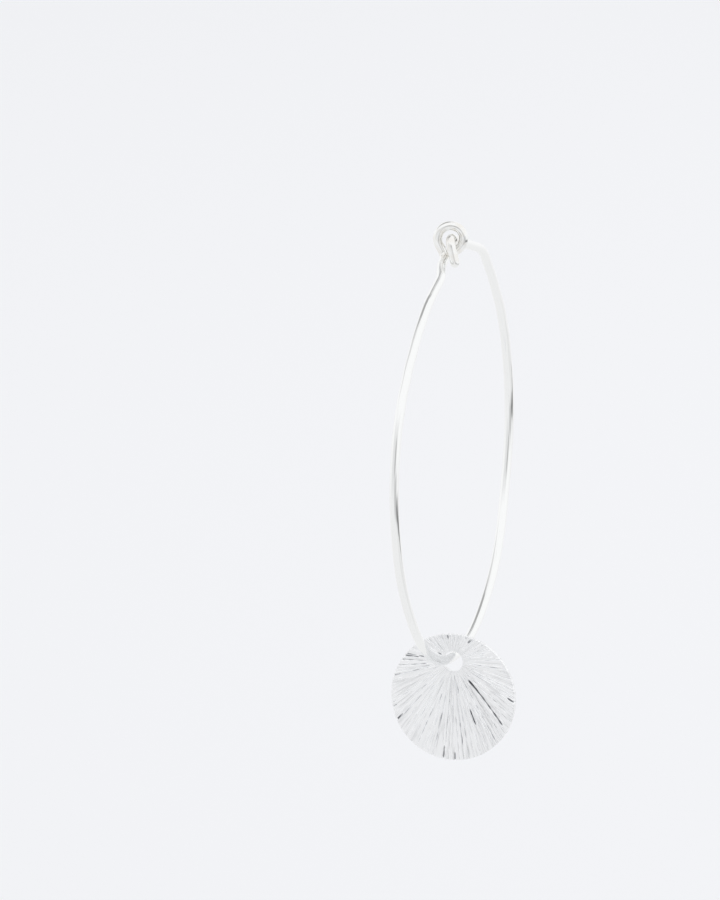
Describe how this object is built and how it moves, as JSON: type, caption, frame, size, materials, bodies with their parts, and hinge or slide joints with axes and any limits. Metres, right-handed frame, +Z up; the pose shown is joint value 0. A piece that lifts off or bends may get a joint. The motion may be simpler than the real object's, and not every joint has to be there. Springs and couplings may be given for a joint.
{
  "type": "hoop charm earring",
  "caption": "Large hoop earring of thin round silver wire, closed where its hooked end passes through a small eye, with a flat scored disc charm that hangs free on the wire.",
  "frame": {"origin": "on the ear wire's axis, just behind the eye, where the ear lobe carries the hoop", "axes": "+Z up, from the hanging disc to the eye; +X in the hoop's plane, from the eye towards the shoulder of the ear wire; +Y square to the hoop"},
  "size_m": [0.04, 0.0124, 0.0531],
  "materials": {
    "polished_silver_wire": "polished sterling silver wire",
    "scored_silver_disc": "silver sheet scored with fine rays, satin back"
  },
  "bodies": {
    "hoop": {"hoop_wire": "polished_silver_wire"},
    "disc": {"disc_charm": "scored_silver_disc"}
  },
  "joints": [
    {"name": "disc_swing", "type": "hinge", "parent": "hoop", "child": "disc", "pos_m": [0, 0, -0.04105], "axis": [1, 0, 0], "continuous": true}
  ]
}
